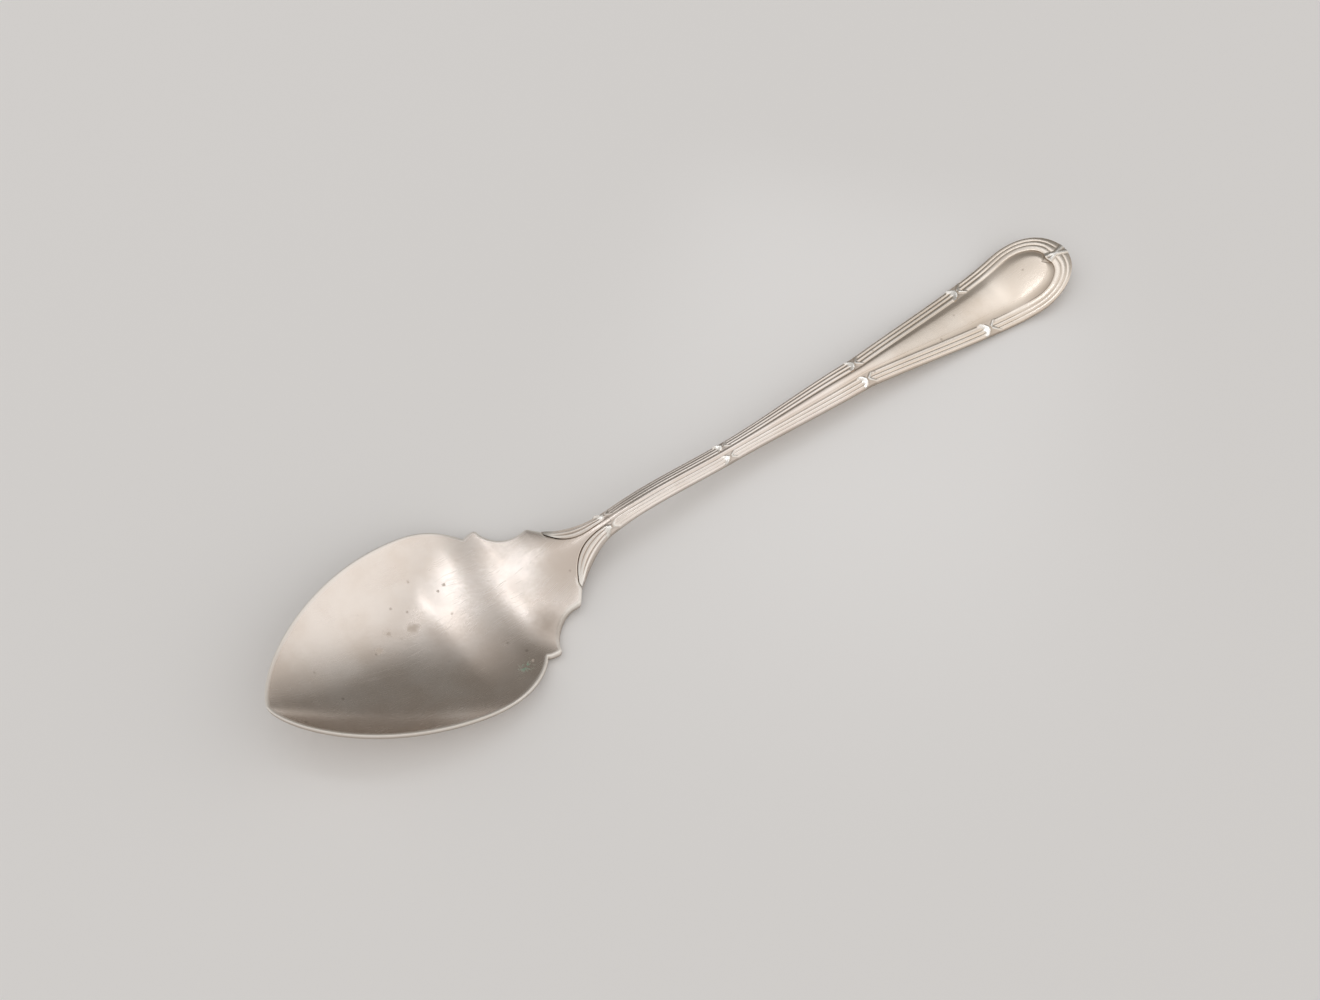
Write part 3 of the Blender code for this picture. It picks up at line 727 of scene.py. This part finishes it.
def silverFinish(name, marks):
    material = bpy.data.materials.new(name)
    material.use_nodes = True
    bench = NodeBench(material.node_tree)
    place = bench.node("ShaderNodeTexCoord", output="Object")
    grime = bench.node("ShaderNodeAttribute", {"attribute_name": "grime"}, output="Fac")
    upper = bench.node("ShaderNodeAttribute", {"attribute_name": "upper"}, output="Fac")
    rub = bench.node("ShaderNodeAttribute", {"attribute_name": "rub"}, output="Fac")

    def noise(scale, detail=2.0, vector=place):
        return bench.node("ShaderNodeTexNoise", None, {"Vector": vector, "Scale": scale, "Detail": detail})

    def vectorMaths(operation, *values, output=0):
        return bench.node("ShaderNodeVectorMath", {"operation": operation}, dict(enumerate(values)), output)

    patches = noise(noiseScale["patches"], 4)
    clouds = noise(noiseScale["clouds"], 3)
    wander = bench.node("ShaderNodeTexNoise", None, {"Vector": place, "Scale": noiseScale["wander"]}, "Color")
    wander = vectorMaths("MULTIPLY_ADD", wander, (silverLook["wander"], silverLook["wander"], 0), place)
    scratches = None
    for turn, along, across, strength in silverLook["hairlines"]:  # degrees, per m, per m, share
        lines = bench.node("ShaderNodeMapping", None, {"Vector": wander, "Rotation": (0, 0, math.radians(turn)),
                                                       "Scale": (along, across, along)})
        worn = bench.between(noise(1.0, 1.0, lines), *noiseSpan["scratches"], strength)
        scratches = worn if scratches is None else scratches | worn
    scratches = scratches * bench.between(noise(noiseScale["scratched"]), *noiseSpan["scratched"])
    cells = bench.node("ShaderNodeTexVoronoi", None, {"Vector": place, "Scale": noiseScale["pits"]}, "Distance")
    pits = 1 - bench.between(cells, *noiseSpan["pits"])
    pits = pits * bench.between(noise(noiseScale["pitted"], 1), *noiseSpan["pitted"])

    plan = vectorMaths("MULTIPLY", place, (1, 1, 0))
    ragged = noise(noiseScale["ragged"], 4)

    def blot(x, y, size):
        away = vectorMaths("DISTANCE", plan, spot(x, y, 0), output="Value")
        fringe = min(size * markLook["ragged"], markLook["raggedMost"]) * mm
        return 1 - bench.between(away + (ragged - 0.5) * fringe, 0.0, markLook["fade"] * size * mm)

    def blots(kind):
        total = None
        for mark in marks[kind]:
            total = blot(*mark) if total is None else total | blot(*mark)
        return total

    lengthwise = bench.node("ShaderNodeSeparateXYZ", None, {0: place}, "X")
    endWarming = bench.between(lengthwise, *silverLook["endWarmSpan"])
    # dirt in valleys and seams, together with the painted shade of the side walls and underside
    dirt = bench.between(grime, 0.1, 1.0, silverLook["grimeAndShadeShare"])
    color = bench.mix(bench.between(patches, *noiseSpan["dull"]), silverLook["bright"], silverLook["dull"])
    # warmer tint toward the end of the handle
    color = bench.mix(endWarming, color, silverLook["endWarmth"], "MULTIPLY")
    # rubbed wear on the rim and the handle's crests, lightened further as a painted highlight
    color = bench.mix(rub * silverLook["rubHighlightShare"], color, silverLook["rubbedHighlight"])
    color = bench.mix(pits * silverLook["pitShare"], color, silverLook["grime"])
    color = bench.mix(dirt, color, silverLook["grime"])
    rough = silverLook["roughness"] + (clouds - 0.5) * silverLook["roughnessSpread"]
    rough = rough + scratches * silverLook["scratchRoughness"] + grime * silverLook["dirtRoughness"]
    metal = 1.0
    if marks:  # the bowl, with its worn rim and its marks
        rough = rough + rub * silverLook["rimRoughness"]
        masks = {kind: blots(kind) * upper for kind in marks}
        flecks = noise(noiseScale["verdigris"])
        masks["verdigris"] = masks["verdigris"] * bench.between(flecks, *noiseSpan["verdigris"])
        for kind, mask in masks.items():
            color = bench.mix(mask * markLook[kind], color, silverLook[kind])
            rough = rough + mask * silverLook["dirtRoughness"]
        metal = 1 - (masks["stains"] | masks["verdigris"]) * silverLook["markDullness"]
    height = patches * silverRelief["waves"] + clouds * silverRelief["dings"]
    for layer in ("grain", "fineGrain"):
        height = height + noise(noiseScale[layer]) * silverRelief[layer]
    height = height - scratches * silverRelief["scratches"] - pits * silverRelief["pits"]
    bump = bench.node("ShaderNodeBump", None, {"Height": height, "Strength": 1.0, "Distance": 1e-6}, "Normal")
    inputs = {"Base Color": color, "Roughness": rough, "Normal": bump, "Metallic": metal}
    shader = bench.node("ShaderNodeBsdfPrincipled", None, inputs)
    bench.node("ShaderNodeOutputMaterial", None, {"Surface": shader})
    return material


bowl = makeBowl()
bowl.data.materials.append(silverFinish("wornBowlSilver", bowlMarks))
handle = makeHandle()
handle.data.materials.append(silverFinish("wornHandleSilver", {}))
for piece, node, finish in ((bowl, "bowl", "bowl_silver"), (handle, "handle", "handle_silver")):
    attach(piece, "root")
    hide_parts(node)
print("silver finished")

# Floor, light and camera
studio = {
    "floorSize": 12.0, "floorColor": (0.86, 0.85, 0.84, 1), "floorRoughness": 0.9, "floorShine": 0.1,
    "wall": (0.72, 0.70, 0.68, 1),
    "darkSide": {"toward": (0.756, 0.621, 0.207), "reach": (0.375, 0.813), "color": (0.22, 0.21, 0.195, 1)},
    "brightSide": {"toward": (0.681, -0.536, 0.499), "reach": (0.40, 0.99), "color": (0.33, 0.33, 0.33, 1)},
    "lights": {
        "keySoftbox": {"place": (-0.051, 0.252, 0.750), "size": (0.63, 0.05), "power": 0.29, "spread": 180,
                       "turn": (0, 0, -45), "color": (0.95, 1.0, 1.08)},
        "handleCard": {"place": (0.051, 0.017, 0.050), "size": (0.067, 0.067), "power": 0.00108, "spread": 50,
                       "aim": (0.026, -0.0048, 0.0015), "color": (0.97, 1.0, 1.05)},
    },
}


def makeStudio():
    deselectAll()
    bpy.ops.mesh.primitive_plane_add(size=studio["floorSize"], location=(0, 0, 0))
    floor = bpy.context.object
    floor.name = "paleFloor"
    paint = bpy.data.materials.new("palePaper")
    paint.use_nodes = True
    bench = NodeBench(paint.node_tree)
    shader = bench.node("ShaderNodeBsdfPrincipled", None, {
        "Base Color": studio["floorColor"], "Roughness": studio["floorRoughness"],
        "Specular IOR Level": studio["floorShine"]})
    bench.node("ShaderNodeOutputMaterial", None, {"Surface": shader})
    floor.data.materials.append(paint)
    world = bpy.data.worlds.new("softRoom")
    world.use_nodes = True
    bpy.context.scene.world = world
    bench = NodeBench(world.node_tree)
    look = bench.node("ShaderNodeTexCoord", output="Generated")
    sky = studio["wall"]
    for side, blend in (("darkSide", "MIX"), ("brightSide", "ADD")):
        toward = bench.node("ShaderNodeVectorMath", {"operation": "DOT_PRODUCT"},
                            {0: look, 1: studio[side]["toward"]}, "Value")
        sky = bench.mix(bench.between(toward, *studio[side]["reach"]), sky, studio[side]["color"], blend)
    background = bench.node("ShaderNodeBackground", None, {"Color": sky})
    bench.node("ShaderNodeOutputWorld", None, {"Surface": background})
    for name, setup in studio["lights"].items():
        bpy.ops.object.light_add(type="AREA", location=setup["place"])
        lamp = bpy.context.object
        lamp.name = name
        lamp.data.shape = "RECTANGLE"
        lamp.data.size, lamp.data.size_y = setup["size"]
        lamp.data.energy = setup["power"]
        lamp.data.color = setup["color"]
        lamp.data.spread = math.radians(setup["spread"])
        if "aim" in setup:
            toward = Vector(setup["aim"]) - lamp.location
            lamp.rotation_euler = toward.to_track_quat("-Z", "Y").to_euler()
        else:
            lamp.rotation_euler = [math.radians(angle) for angle in setup["turn"]]


cameraSetup = {"place": (-0.07971, -0.10379, 0.23710), "toward": (0.27161, 0.38908, -0.88025),
               "focalWidths": 1800 / 1320, "sensor": 36, "nearest": 0.01}


def makeCamera():
    bpy.ops.object.camera_add(location=cameraSetup["place"])
    camera = bpy.context.object
    camera.name = "photoCamera"
    camera.rotation_euler = Vector(cameraSetup["toward"]).to_track_quat("-Z", "Y").to_euler()
    camera.data.sensor_width = cameraSetup["sensor"]
    camera.data.lens = cameraSetup["focalWidths"] * cameraSetup["sensor"]
    camera.data.clip_start = cameraSetup["nearest"]
    bpy.context.scene.camera = camera


makeStudio()
makeCamera()
bpy.context.scene.view_settings.view_transform = "Standard"
print("floor, light and camera placed")
